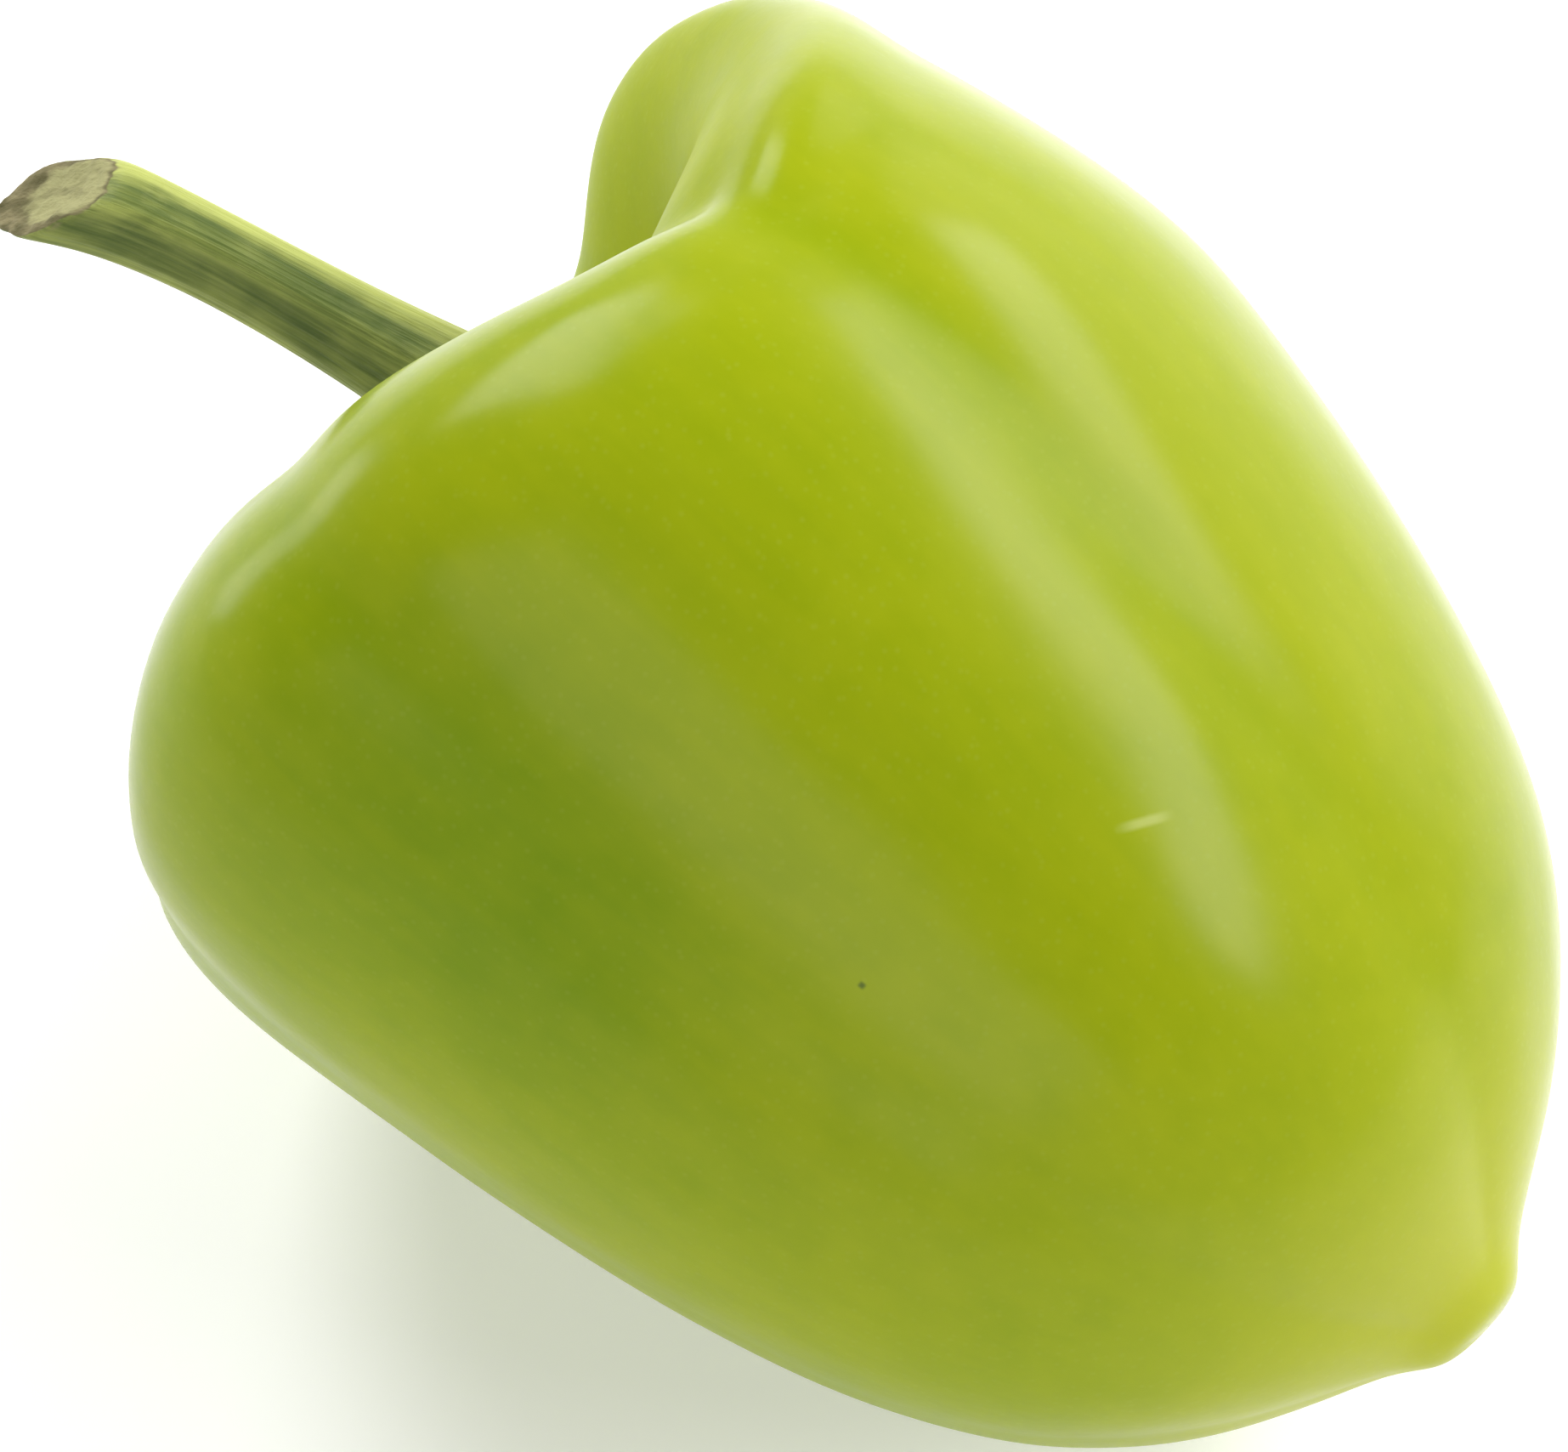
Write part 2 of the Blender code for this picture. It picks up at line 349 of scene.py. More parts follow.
class StemSettings(bpy.types.PropertyGroup):
    """The calyx and the stem."""

    segments: IntProperty(name="Segments", description="Faces round the stem", default=160, min=24)
    rings: IntProperty(name="Rings", description="Faces from seat to cut end", default=260, min=24)
    fibre: length_property("Fibre", "Height of the ridges along the stem", 0.07 * MM)
    # Shaded green and stem green are the dark and light ends of the stem's tone, which is mostly painted
    # shade and painted light by side round the stem, and a little its ribs.
    shade: colour_property("Shaded green", "Stem between its ribs", (0.060, 0.098, 0.012))
    green: colour_property("Stem green", "Stem on its ribs", (0.44, 0.48, 0.12))
    cap: colour_property("Calyx green", "Calyx and foot of the stem", (0.17, 0.30, 0.025))
    bark: colour_property("Dry bark", "Rim of the cut end", (0.11, 0.10, 0.040))
    husk: colour_property("Pale bark", "Paler patches on the rim of the cut end", (0.23, 0.20, 0.10))
    pith: colour_property("Pith", "Middle of the cut end", (0.34, 0.33, 0.15))


class StageSettings(bpy.types.PropertyGroup):
    """Floor, light and camera."""

    floor: colour_property("Floor", "Colour of the floor", (0.93, 0.93, 0.93))
    ambient: FloatProperty(name="Ambient", description="Strength of the even light", default=0.8, min=0.0)
    key: FloatProperty(
        name="Key", description="Power that each softbox has its share of", default=5.0, min=0.0, unit="POWER"
    )


# ---------------------------------------------------------------------------------------------------------
# Shared effects, as node groups
# ---------------------------------------------------------------------------------------------------------


class Tree:
    """Adds and links nodes in a node tree, one short call each."""

    def __init__(self, nodes_and_links):
        self.tree = nodes_and_links

    def add(self, kind, **settings):
        """A node; settings name its properties, or its inputs where no property has that name."""
        node = self.tree.nodes.new(kind)
        for name, value in settings.items():
            if hasattr(node, name):
                setattr(node, name, value)
            else:
                self.feed(node.inputs[name], value)
        return node

    def feed(self, socket, value):
        """Links an output to a socket, or sets the socket's own value."""
        if isinstance(value, bpy.types.NodeSocket):
            self.tree.links.new(value, socket)
        else:
            socket.default_value = value

    def math(self, operation, first, second=0.0, clamp=False):
        """A number worked out from one or two numbers."""
        node = self.add("ShaderNodeMath", operation=operation, use_clamp=clamp)
        self.feed(node.inputs[0], first)
        self.feed(node.inputs[1], second)
        return node.outputs[0]

    def vector(self, operation, first, second=None):
        """A vector worked out from vectors, or the number that a dot product or a length gives."""
        node = self.add("ShaderNodeVectorMath", operation=operation)
        self.feed(node.inputs[0], first)
        if second is not None:
            self.feed(node.inputs[1], second)
        return node.outputs["Value" if operation in ("DOT_PRODUCT", "LENGTH") else "Vector"]

    def mix(self, factor, first, second):
        """A colour between two colours."""
        node = self.add("ShaderNodeMix", data_type="RGBA", clamp_factor=True)
        self.feed(node.inputs["Factor"], factor)
        self.feed(node.inputs["A"], first)
        self.feed(node.inputs["B"], second)
        return node.outputs["Result"]

    def span(self, value, low, high, to_low=0.0, to_high=1.0):
        """Maps low..high smoothly onto to_low..to_high."""
        node = self.add("ShaderNodeMapRange", interpolation_type="SMOOTHSTEP")
        for name, number in zip(
            ("Value", "From Min", "From Max", "To Min", "To Max"), (value, low, high, to_low, to_high)
        ):
            self.feed(node.inputs[name], number)
        return node.outputs["Result"]


def effect(name, inputs, outputs):
    """An empty node group with the named inputs and outputs, its tree, its input node and its output node."""
    group = bpy.data.node_groups.new(name, "ShaderNodeTree")
    for sockets, side in ((inputs, "INPUT"), (outputs, "OUTPUT")):
        for label, socket_type, default in sockets:
            socket = group.interface.new_socket(name=label, in_out=side, socket_type=socket_type)
            if default is not None:
                socket.default_value = default
    tree = Tree(group)
    return group, tree, tree.add("NodeGroupInput"), tree.add("NodeGroupOutput")


def clouds_effect():
    """Soft cloudy blotches, 0 to 1, for colour that varies slowly."""
    group, tree, given, result = effect(
        "soft_clouds",
        (
            ("Place", "NodeSocketVector", None),
            ("Size", "NodeSocketFloat", 10 * MM),
            ("Softness", "NodeSocketFloat", 0.25),
        ),
        (("Amount", "NodeSocketFloat", None),),
    )
    scale = tree.math("DIVIDE", 1.0, given.outputs["Size"])
    cloud = tree.add(
        "ShaderNodeTexNoise", Vector=given.outputs["Place"], Scale=scale, Detail=2.0, Roughness=0.5
    ).outputs[0]
    low = tree.math("SUBTRACT", 0.5, given.outputs["Softness"])
    high = tree.math("ADD", 0.5, given.outputs["Softness"])
    tree.feed(result.inputs["Amount"], tree.span(cloud, low, high))
    return group


def grain_effect():
    """Very fine specks, as a mask and as a height, for pores, wax and dust."""
    group, tree, given, result = effect(
        "fine_grain",
        (
            ("Place", "NodeSocketVector", None),
            ("Size", "NodeSocketFloat", 0.5 * MM),
            ("Cover", "NodeSocketFloat", 0.5),
        ),
        (("Mask", "NodeSocketFloat", None), ("Height", "NodeSocketFloat", None)),
    )
    scale = tree.math("DIVIDE", 1.0, given.outputs["Size"])
    cells = tree.add(
        "ShaderNodeTexVoronoi", Vector=given.outputs["Place"], Scale=scale, Randomness=1.0
    ).outputs["Distance"]
    edge = tree.math("MULTIPLY", given.outputs["Cover"], 0.8)
    tree.feed(result.inputs["Mask"], tree.span(cells, edge, 0.0))
    noise_height = tree.add(
        "ShaderNodeTexNoise", Vector=given.outputs["Place"], Scale=scale, Detail=2.0
    ).outputs[0]
    tree.feed(result.inputs["Height"], noise_height)
    return group


def fibres_effect():
    """Long thin lines that run along the upright axis, 0 to 1."""
    group, tree, given, result = effect(
        "long_fibres",
        (
            ("Place", "NodeSocketVector", None),
            ("Width", "NodeSocketFloat", 0.5 * MM),
            ("Stretch", "NodeSocketFloat", 20.0),
        ),
        (("Lines", "NodeSocketFloat", None),),
    )
    shrink = tree.math("DIVIDE", 1.0, given.outputs["Stretch"])
    squeeze = tree.add("ShaderNodeCombineXYZ", X=1.0, Y=1.0, Z=shrink).outputs[0]
    place = tree.vector("MULTIPLY", given.outputs["Place"], squeeze)
    scale = tree.math("DIVIDE", 1.0, given.outputs["Width"])
    lines = tree.add("ShaderNodeTexNoise", Vector=place, Scale=scale, Detail=3.0).outputs[0]
    tree.feed(result.inputs["Lines"], tree.span(lines, 0.3, 0.7))
    return group


def mark_effect():
    """A short mark on the skin round a place, 1 on it and 0 away from it."""
    group, tree, given, result = effect(
        "small_mark",
        (
            ("Place", "NodeSocketVector", None),
            ("Centre", "NodeSocketVector", None),
            ("Direction", "NodeSocketVector", (0.0, 0.0, 1.0)),
            ("Length", "NodeSocketFloat", 1 * MM),
            ("Width", "NodeSocketFloat", 0.3 * MM),
        ),
        (("Mask", "NodeSocketFloat", None),),
    )
    away = tree.vector("SUBTRACT", given.outputs["Place"], given.outputs["Centre"])
    lengthways = tree.vector("DOT_PRODUCT", away, given.outputs["Direction"])
    on_line = tree.add("ShaderNodeVectorMath", operation="SCALE", Scale=lengthways)
    tree.feed(on_line.inputs[0], given.outputs["Direction"])
    off = tree.vector("LENGTH", tree.vector("SUBTRACT", away, on_line.outputs[0]))
    shares = (
        tree.math("DIVIDE", tree.math("ABSOLUTE", lengthways), given.outputs["Length"]),
        tree.math("DIVIDE", off, given.outputs["Width"]),
    )
    lengthwise, sideways = (tree.span(share, 1.0, 0.2) for share in shares)
    tree.feed(result.inputs["Mask"], tree.math("MULTIPLY", lengthwise, sideways))
    return group


EFFECTS = {
    "soft_clouds": clouds_effect,
    "fine_grain": grain_effect,
    "long_fibres": fibres_effect,
    "small_mark": mark_effect,
}


def placed(tree, name, **inputs):
    """A shared effect in a material, made the first time that it is asked for."""
    node = tree.add("ShaderNodeGroup", node_tree=bpy.data.node_groups.get(name) or EFFECTS[name]())
    for label, value in inputs.items():
        tree.feed(node.inputs[label], value)
    return node


def new_material(name, **constants):
    """A material, its tree and its shader; constants name the shader's inputs with _ for a space."""
    made = bpy.data.materials.new(name)
    made.use_nodes = True
    tree = Tree(made.node_tree)
    shader = made.node_tree.nodes["Principled BSDF"]
    for label, value in constants.items():
        shader.inputs[label.replace("_", " ")].default_value = value
    return made, tree, shader


def attribute(tree, name, output="Fac"):
    """A value stored on the mesh's points, or with output Vector a place stored there."""
    return tree.add("ShaderNodeAttribute", attribute_name=name).outputs[output]


def bump(tree, height, distance, strength):
    """The normal that a height gives; distance is the height of its highest point."""
    node = tree.add("ShaderNodeBump", Height=height, Distance=distance, Strength=strength)
    return node.outputs["Normal"]


def opaque(colour):
    """A colour with full alpha."""
    return (*colour, 1.0)


# ---------------------------------------------------------------------------------------------------------
# Meshes
# ---------------------------------------------------------------------------------------------------------


def mesh_piece(name, shape, points, material, values):
    """A smooth mesh object from a bmesh, its points' places, a material and named values for each point."""
    for vertex, point in zip(shape.verts, points):
        vertex.co = point
    mesh = bpy.data.meshes.new(name)
    shape.to_mesh(mesh)
    shape.free()
    mesh.shade_smooth()
    mesh.materials.append(material)
    for label, amounts in values.items():
        amounts = np.asarray(amounts, np.float32)
        kind, field = ("FLOAT_VECTOR", "vector") if amounts.ndim == 2 else ("FLOAT", "value")
        mesh.attributes.new(label, kind, "POINT").data.foreach_set(field, amounts.ravel())
    piece = bpy.data.objects.new(name, mesh)
    bpy.context.scene.collection.objects.link(piece)
    return piece


def point_normals(shape, points):
    """The normals of a bmesh whose points are moved to the given places."""
    for vertex, point in zip(shape.verts, points):
        vertex.co = point
    shape.normal_update()
    return np.array([vertex.normal for vertex in shape.verts])


def noise_at(points, size, seed=0.0):
    """Smooth noise from about -1 to 1 at each point; size gives the grain along each axis."""
    places = points / size + seed
    return np.array([noise.noise(place) for place in places])


def ring_blend(angle, rows, focus=RIDGE_FOCUS):
    """Values given at angles round the fruit, blended between them."""
    weights = [np.exp(focus * np.cos(np.radians(turn_between(angle, centre)))) for centre, _ in rows]
    total = sum(weights)
    return sum(weight * value for weight, (_, value) in zip(weights, rows)) / total


# ---------------------------------------------------------------------------------------------------------
# Fruit
# ---------------------------------------------------------------------------------------------------------

# How green the skin is at angles round the fruit, 0 to 1: partly real colour and partly painted shade, deeper
# green on the shaded underside and left flank and paler on the right flank that faces the key light.
GREEN_AND_SHADE_BY_ANGLE = (
    (4, 0.34),
    (40, 0.18),
    (70, 0.11),
    (124, 0.20),
    (179, 0.40),
    (238, 0.45),
    (280, 0.32),
    (312, 0.45),
    (344, 0.30),
)
# A patch of painted shade, as deeper green on the near left flank: its angle round the fruit and height, then
# half its width in degrees and half its length in millimetres, and how much greener it is.
Patch = namedtuple("Patch", "angle height width length depth")
PAINTED_SHADE_PATCH = Patch(-36, 66.0, 20.0, 18.0, 0.50)
# How thick the wax is at angles round the fruit, 0 to 1.
WAXINESS = ((-80, 0.35), (-10, 1.00), (80, 1.00), (190, 0.80))
HOLLOW_START, HOLLOW_END = CREST - 0.45, CREST + 0.45  # where the wax thins into the hollow
HOLLOW_DULLING, FURROW_DULLING = 0.9, 0.7  # shares of the wax that the hollow and the furrows lose
GREEN_ON_TIP, GREEN_LOW = 0.3, 0.8  # shares of the greenness that are left towards the blossom tip
RIPE_HEIGHT = 18 * MM  # how far up from the blossom tip the skin turns straw yellow
RIPENESS = 0.55
FURROW_MASK_WIDTH = 0.45  # as a share of the furrow's half width
FURROW_MASK_ALONG = (0.0, 0.3, 1.0, 0.2)  # how full it is at the tip, low down, at the shoulder and the crest
FULL_FURROW = 1.8  # depth on the belly, in millimetres, from which a furrow is coloured in full
# Marks on the skin: angle round the fruit, height and, for the mark's own line, its direction as degrees
# round and millimetres up, then half its length and half its width in millimetres.
Mark = namedtuple("Mark", "angle height run climb length width")
SCRATCH = Mark(13.5, 37.0, 1.0, -0.35, 2.4, 0.50)
SPECK = Mark(-18.5, 43.1, 0.0, 1.0, 0.35, 0.35)

# How much of each effect shows in the skin's colour, 0 to 1.
CLOUDS_IN_GREEN = 0.16
# The furrows' deeper green is painted shade in the creases.
FURROW_SHADE_IN_GREEN = 0.25
STREAKS_IN_GREEN = 0.07
CLOUDS_IN_STRAW = 0.08
FLECKS_SHOWN = 0.04
SCRATCH_SHOWN = 0.36
SPECK_SHOWN = 0.8
SKIN_UNEVENNESS = 0.06  # how much the roughness varies
# The skin's swells: their size across and along the fruit, as shares of the swell size.
BROAD_SWELL = (1.0, 1.0, 2.2)
FINE_SWELL = (0.45, 0.45, 1.6)
FINE_SWELL_SHARE = 0.4
FINE_SWELL_SEED = 7.3
SWELL_ALONG = (0.2, 1.0, 1.0, 0.0)  # how strong the swells are at the tip, low down, at the shoulder and seat
PORE_HEIGHT, PORE_STRENGTH = 0.03 * MM, 0.6


def skin_place(angle, height):
    """The point of the skin at an angle in degrees and a height in millimetres above the blossom tip."""
    shares = np.linspace(0.1, 0.6, 400)  # of the way from the tip to the seat, up to the shoulder
    line = fruit_skin(np.full_like(shares, math.radians(angle)), shares)
    return Vector(line[np.abs(line[:, 2] - height * MM).argmin()])


def marked(tree, place, mark):
    """The mask of a mark on the skin."""
    centre = skin_place(mark.angle, mark.height)
    end = skin_place(mark.angle + mark.run, mark.height + mark.climb)
    direction = (end - centre).normalized()
    size = {"Length": mark.length * MM, "Width": mark.width * MM}
    return placed(tree, "small_mark", Place=place, Centre=centre, Direction=direction, **size).outputs["Mask"]


def skin_material(skin):
    """Light green skin under a thin wax, yellower at the tip, deeper green on the shaded flanks, partly as
    real colour and partly as painted shade, and painted shade as deeper green in the furrows and in one patch
    on the near left.
    """
    made, tree, shader = new_material(
        "waxy_skin",
        Coat_Roughness=0.21,
        Coat_IOR=1.24,
        Specular_IOR_Level=0.02,
        Subsurface_Weight=0.12,
        Subsurface_Radius=(0.6, 1.0, 0.2),
        Subsurface_Scale=3 * MM,
    )
    place = attribute(tree, "upright", "Vector")
    clouds = placed(tree, "soft_clouds", Place=place, Size=18 * MM, Softness=0.3).outputs["Amount"]
    small_clouds = placed(tree, "soft_clouds", Place=place, Size=4 * MM, Softness=0.3).outputs["Amount"]
    streaks = placed(tree, "long_fibres", Place=place, Width=1.6 * MM, Stretch=14.0).outputs["Lines"]
    grain = placed(tree, "fine_grain", Place=place, Size=0.9 * MM, Cover=0.45)

    # The green mix carries painted shade as well as real colour: deeper green on the shaded flanks, in one
    # patch and in the furrows.
    green = tree.math("ADD", attribute(tree, "green_and_shade"), tree.math("MULTIPLY", clouds, CLOUDS_IN_GREEN))
    # Painted shade: deeper green in the furrows.
    in_furrow = tree.math("MULTIPLY", attribute(tree, "furrow"), FURROW_SHADE_IN_GREEN)
    green = tree.math("ADD", green, in_furrow)
    green = tree.math("ADD", green, tree.math("MULTIPLY", streaks, STREAKS_IN_GREEN), clamp=True)
    colour = tree.mix(green, opaque(skin.lime), opaque(skin.leaf_and_shade))
    colour = tree.mix(attribute(tree, "ripeness"), colour, opaque(skin.straw))
    for mask, share, tint in (
        (small_clouds, CLOUDS_IN_STRAW, skin.straw),
        (grain.outputs["Mask"], FLECKS_SHOWN, skin.fleck),
        (marked(tree, place, SCRATCH), SCRATCH_SHOWN, skin.scratch),
        (marked(tree, place, SPECK), SPECK_SHOWN, skin.speck),
    ):
        colour = tree.mix(tree.math("MULTIPLY", mask, share), colour, opaque(tint))
    tree.feed(shader.inputs["Base Color"], colour)

    tree.feed(shader.inputs["Coat Weight"], tree.math("MULTIPLY", attribute(tree, "waxiness"), skin.wax))
    uneven = tree.math("MULTIPLY", small_clouds, SKIN_UNEVENNESS)
    rough = tree.math("ADD", uneven, skin.roughness - SKIN_UNEVENNESS / 2)
    tree.feed(shader.inputs["Roughness"], rough)
    tree.feed(shader.inputs["Normal"], bump(tree, grain.outputs["Height"], PORE_HEIGHT, PORE_STRENGTH))
    return made


def furrow_mask(angle, places):
    """How deep in a furrow each point is, 0 to 1, on the belly and the shoulder."""
    inside = np.zeros_like(angle)
    for furrow in FURROWS:
        x = turn_between(angle, furrow.angle) / (FURROW_MASK_WIDTH * furrow.width)
        inside += np.exp(-x * x) * min(1.0, furrow.belly / FULL_FURROW)
    return inside * along(places, (TIP, LOW, SHOULDER, CREST), FURROW_MASK_ALONG)


def green_and_shade(angle, places, upright):
    """How green each point is, 0 to 1: real green that fades towards the tip, with painted shade as deeper
    green on the shaded flanks and in one patch.
    """
    # Painted shade: a patch of deeper green on the near left flank.
    aside = turn_between(angle, PAINTED_SHADE_PATCH.angle) / PAINTED_SHADE_PATCH.width
    along_it = (upright[:, 2] / MM - PAINTED_SHADE_PATCH.height) / PAINTED_SHADE_PATCH.length
    shade_patch = PAINTED_SHADE_PATCH.depth * np.exp(-aside * aside - along_it * along_it)
    fullness = along(places, (TIP, LOW, CREST), (GREEN_ON_TIP, GREEN_LOW, 1.0))
    return ring_blend(angle, GREEN_AND_SHADE_BY_ANGLE) * fullness + shade_patch


def waxiness(angle, places):
    """How thick the wax is at each point, 0 to 1: thin underneath, in the hollow and in the furrows."""
    thinner = (1 - ring_blend(angle, WAXINESS)) * along(places, (BELLY, CREST), (1.0, 0.0))
    hollow = eased((places - HOLLOW_START) / (HOLLOW_END - HOLLOW_START))
    in_furrow = furrow_mask(angle, places)
    return (1 - thinner) * (1 - HOLLOW_DULLING * hollow) * (1 - FURROW_DULLING * in_furrow)


def dress_fruit(skin):
    """The fruit's fine skin, with slow swells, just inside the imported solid."""
    shape, angle, height = sphere_grid(skin.segments, skin.rings)
    places = height * (len(FRUIT_MERIDIAN) - 1)
    upright = fruit_skin(angle, height)
    points = turned(upright) + RESTING_SHIFT
    normals = point_normals(shape, points)
    swell = noise_at(upright, np.array(BROAD_SWELL) * skin.swell_size)
    swell += FINE_SWELL_SHARE * noise_at(upright, np.array(FINE_SWELL) * skin.swell_size, FINE_SWELL_SEED)
    swell *= along(places, (TIP, LOW, SHOULDER, SEAT), SWELL_ALONG)
    points += normals * (swell * skin.swell / (1 + FINE_SWELL_SHARE) - skin.inset)[:, None]
    points[:, 2] = np.maximum(points[:, 2], 0.0)
    values = {
        "upright": upright,
        "green_and_shade": green_and_shade(angle, places, upright),
        "ripeness": RIPENESS * (1 - eased(upright[:, 2] / RIPE_HEIGHT)),
        "furrow": furrow_mask(angle, places),
        "waxiness": waxiness(angle, places),
    }
    piece = mesh_piece("waxy_fruit", shape, points, skin_material(skin), values)
    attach(piece, "root")
    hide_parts("fruit")


# ---------------------------------------------------------------------------------------------------------
# Calyx and stem
# ---------------------------------------------------------------------------------------------------------

CUT_START, CUT_END = 13.75, 14.25  # where the skin turns into the cut face, in points of the meridian
# How light the stem's green is at angles round it, 0 to 1: painted light on the side turned towards the key
# softbox and painted shade in a dark band beside it.
STEM_LIGHT_AND_SHADE = ((66, 1.0), (14, 0.0), (-28, 0.42), (-90, 0.25), (180, 0.30))
STEM_LIGHT_AND_SHADE_FOCUS = 6.0
TOOTH_TONE = 0.15  # how much of the tone follows the stem's own ribs
PITH_SHIFT = 0.5  # how far the pale pith sits off the middle of the cut face, as a share of its radius
PITH_EDGE = 0.5  # share of the cut face's radius over which the pith fades
CUT_RADIUS = 3.4 * MM
CUT_HOLLOW = 0.35 * MM  # how deep the middle of the dry cut face has shrunk
CUT_HOLLOW_SHARE = 0.625  # share of the cut face's radius over which it shrinks
CUT_ROUGHNESS = 0.14 * MM
DRY_HEIGHT, DRY_LENGTH = 40.4 * MM, 2.4 * MM  # where the stem's rim dries brown, and over what length
RIM_DRYNESS = 0.8
CALYX_GREENNESS = 0.7
CALYX_FADE = 4 * MM  # height over which the calyx's green turns into the stem's
FIBRE_START, FIBRE_FADE = 2 * MM, 6 * MM  # height at which the fibres start, and over which they grow
STEM_INSET = 0.12 * MM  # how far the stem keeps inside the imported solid

# Grain of the relief round and along the stem, then of the cut face: size and seed of each.
FIBRES = (((0.16, 0.16, 0.5), 0.0), ((0.07, 0.07, 0.3), 3.1))
CUT_CELLS = ((0.9 * MM, 5.0), (0.4 * MM, 9.0))
ROUND_TO_LENGTH = 60 * MM  # length along the stem that its grain takes as one radius

# How much of each effect shows in the stem's colour, 0 to 1.
LINES_IN_GREEN = 0.22
FINE_LINES_IN_GREEN = 0.08
CLOUDS_IN_STEM_GREEN = 0.2
CLOUDS_IN_DRYNESS = 0.5
CLOUDS_IN_PITH = 0.6
GRAIN_IN_RELIEF = 0.6
FIBRE_BUMP, FIBRE_BUMP_STRENGTH = 0.06 * MM, 0.7
# Where the sums of those effects start and end to show: light green, dryness and pith.
TONE_RANGE = (0.10, 1.20)
DRY_RANGE = (0.55, 0.95)
PITH_RANGE = (0.5, 1.3)
STEM_ROUGHNESS, DRY_ROUGHNESS = 0.5, 0.9


def stem_material(stem):
    """Green fibrous skin with painted light on one side, painted shade beside it and slightly lighter ribs,
    dried brown round a pale pith at the cut end.
    """
    made, tree, shader = new_material(
        "fibrous_stem", Coat_Weight=0.05, Coat_Roughness=0.4, Specular_IOR_Level=0.25
    )
    place = attribute(tree, "upright", "Vector")
    lines = placed(tree, "long_fibres", Place=place, Width=0.55 * MM, Stretch=22.0).outputs["Lines"]
    fine_lines = placed(tree, "long_fibres", Place=place, Width=0.22 * MM, Stretch=40.0).outputs["Lines"]
    clouds = placed(tree, "soft_clouds", Place=place, Size=5 * MM, Softness=0.2).outputs["Amount"]
    grain = placed(tree, "fine_grain", Place=place, Size=0.28 * MM, Cover=0.6)
    dry_clouds = placed(tree, "soft_clouds", Place=place, Size=1.3 * MM, Softness=0.16).outputs["Amount"]

    # The tone is mostly painted light and shade by side round the stem, with a little of its ribs and real
    # streaks and clouds.
    light = attribute(tree, "tone")
    for effect_mask, share in (
        (lines, LINES_IN_GREEN),
        (fine_lines, FINE_LINES_IN_GREEN),
        (clouds, CLOUDS_IN_STEM_GREEN),
    ):
        light = tree.math("ADD", light, tree.math("MULTIPLY", effect_mask, share))
    light = tree.span(light, *TONE_RANGE)
    colour = tree.mix(light, opaque(stem.shade), opaque(stem.green))
    colour = tree.mix(attribute(tree, "calyx"), colour, opaque(stem.cap))

    dry = tree.math("ADD", attribute(tree, "dry"), tree.math("MULTIPLY", dry_clouds, CLOUDS_IN_DRYNESS))
    dry = tree.span(dry, *DRY_RANGE)
    bark = tree.mix(dry_clouds, opaque(stem.bark), opaque(stem.husk))
    colour = tree.mix(dry, colour, bark)
    pith = tree.math("ADD", attribute(tree, "pith"), tree.math("MULTIPLY", dry_clouds, CLOUDS_IN_PITH))
    pith = tree.span(pith, *PITH_RANGE)
    colour = tree.mix(pith, colour, opaque(stem.pith))
    tree.feed(shader.inputs["Base Color"], colour)
    tree.feed(shader.inputs["Roughness"], tree.span(dry, 0.0, 1.0, STEM_ROUGHNESS, DRY_ROUGHNESS))
    relief = tree.math("MULTIPLY", grain.outputs["Height"], GRAIN_IN_RELIEF)
    relief = tree.math("ADD", fine_lines, relief)
    tree.feed(shader.inputs["Normal"], bump(tree, relief, FIBRE_BUMP, FIBRE_BUMP_STRENGTH))
    return made


def layered_noise(points, layers):
    """A broad noise with a finer one at half its height; each layer is a size and a seed."""
    (broad, broad_seed), (fine, fine_seed) = layers
    return noise_at(points, np.array(broad), broad_seed) + 0.5 * noise_at(points, np.array(fine), fine_seed)


